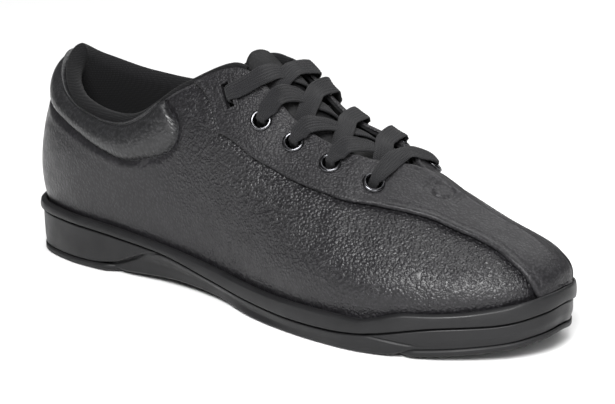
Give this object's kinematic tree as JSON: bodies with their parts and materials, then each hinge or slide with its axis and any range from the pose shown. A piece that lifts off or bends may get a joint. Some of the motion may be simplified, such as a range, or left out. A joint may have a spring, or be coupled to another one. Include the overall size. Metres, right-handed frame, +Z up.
{
  "type": "bowling shoe",
  "caption": "Low laced leather sports shoe with a centre strip over the toe, padded collar and tongue, flat lace through eyelets and top slots, and a flat moulded sole.",
  "frame": {"origin": "centre of the shoe's overall box, on the ground plane under the sole", "axes": "+X from heel to toe, +Y towards the inner (medial) side of the foot, +Z up"},
  "size_m": [0.2762, 0.0954, 0.1055],
  "materials": {
    "grain_leather": "tumbled grain, semi-matt black",
    "smooth_leather": "fine grain, soft sheen black",
    "collar_leather": "soft fine grain, padded, black",
    "tongue_textile": "soft fine-grain black cover",
    "lining": "black knitted lining",
    "lace_textile": "flat woven black lace",
    "midsole_rubber": "satin moulded black",
    "sole_rubber": "matt moulded black",
    "eyelet_metal": "black enamel, glossy",
    "aglet_plastic": "glossy black",
    "foam": "open-cell foam, dark grey",
    "board": "pressed fibre board",
    "shank_steel": "spring steel"
  },
  "bodies": {
    "shoe": {"outsole": "sole_rubber", "midsole": "midsole_rubber", "shank": "shank_steel", "heel_cushion": "foam", "insole_board": "board", "insole": "lining", "centre_overlay": "smooth_leather", "centre_backing": "lining", "toe_puff": "board", "heel_counter": "board", "vamp_lining": "lining", "quarter_lining": "lining", "collar_cover": "collar_leather", "collar_foam": "foam", "lace": "lace_textile", "lateral_quarter": "grain_leather", "lateral_slot_tab": "smooth_leather", "lateral_aglet": "aglet_plastic", "lateral_eyelet_1": "eyelet_metal", "lateral_eyelet_2": "eyelet_metal", "lateral_eyelet_3": "eyelet_metal", "lateral_eyelet_4": "eyelet_metal", "medial_quarter": "grain_leather", "medial_slot_tab": "smooth_leather", "medial_aglet": "aglet_plastic", "medial_eyelet_1": "eyelet_metal", "medial_eyelet_2": "eyelet_metal", "medial_eyelet_3": "eyelet_metal", "medial_eyelet_4": "eyelet_metal"},
    "tongue": {"tongue_cover": "tongue_textile", "tongue_foam": "foam", "tongue_lining": "lining"}
  },
  "joints": [
    {"name": "tongue_hinge", "type": "hinge", "parent": "shoe", "child": "tongue", "pos_m": [0.068, 0, 0.06], "axis": [0, 1, 0], "range_deg": [-6, 0], "stiffness_Nm_per_rad": 0.5, "springref_deg": 1.72}
  ]
}
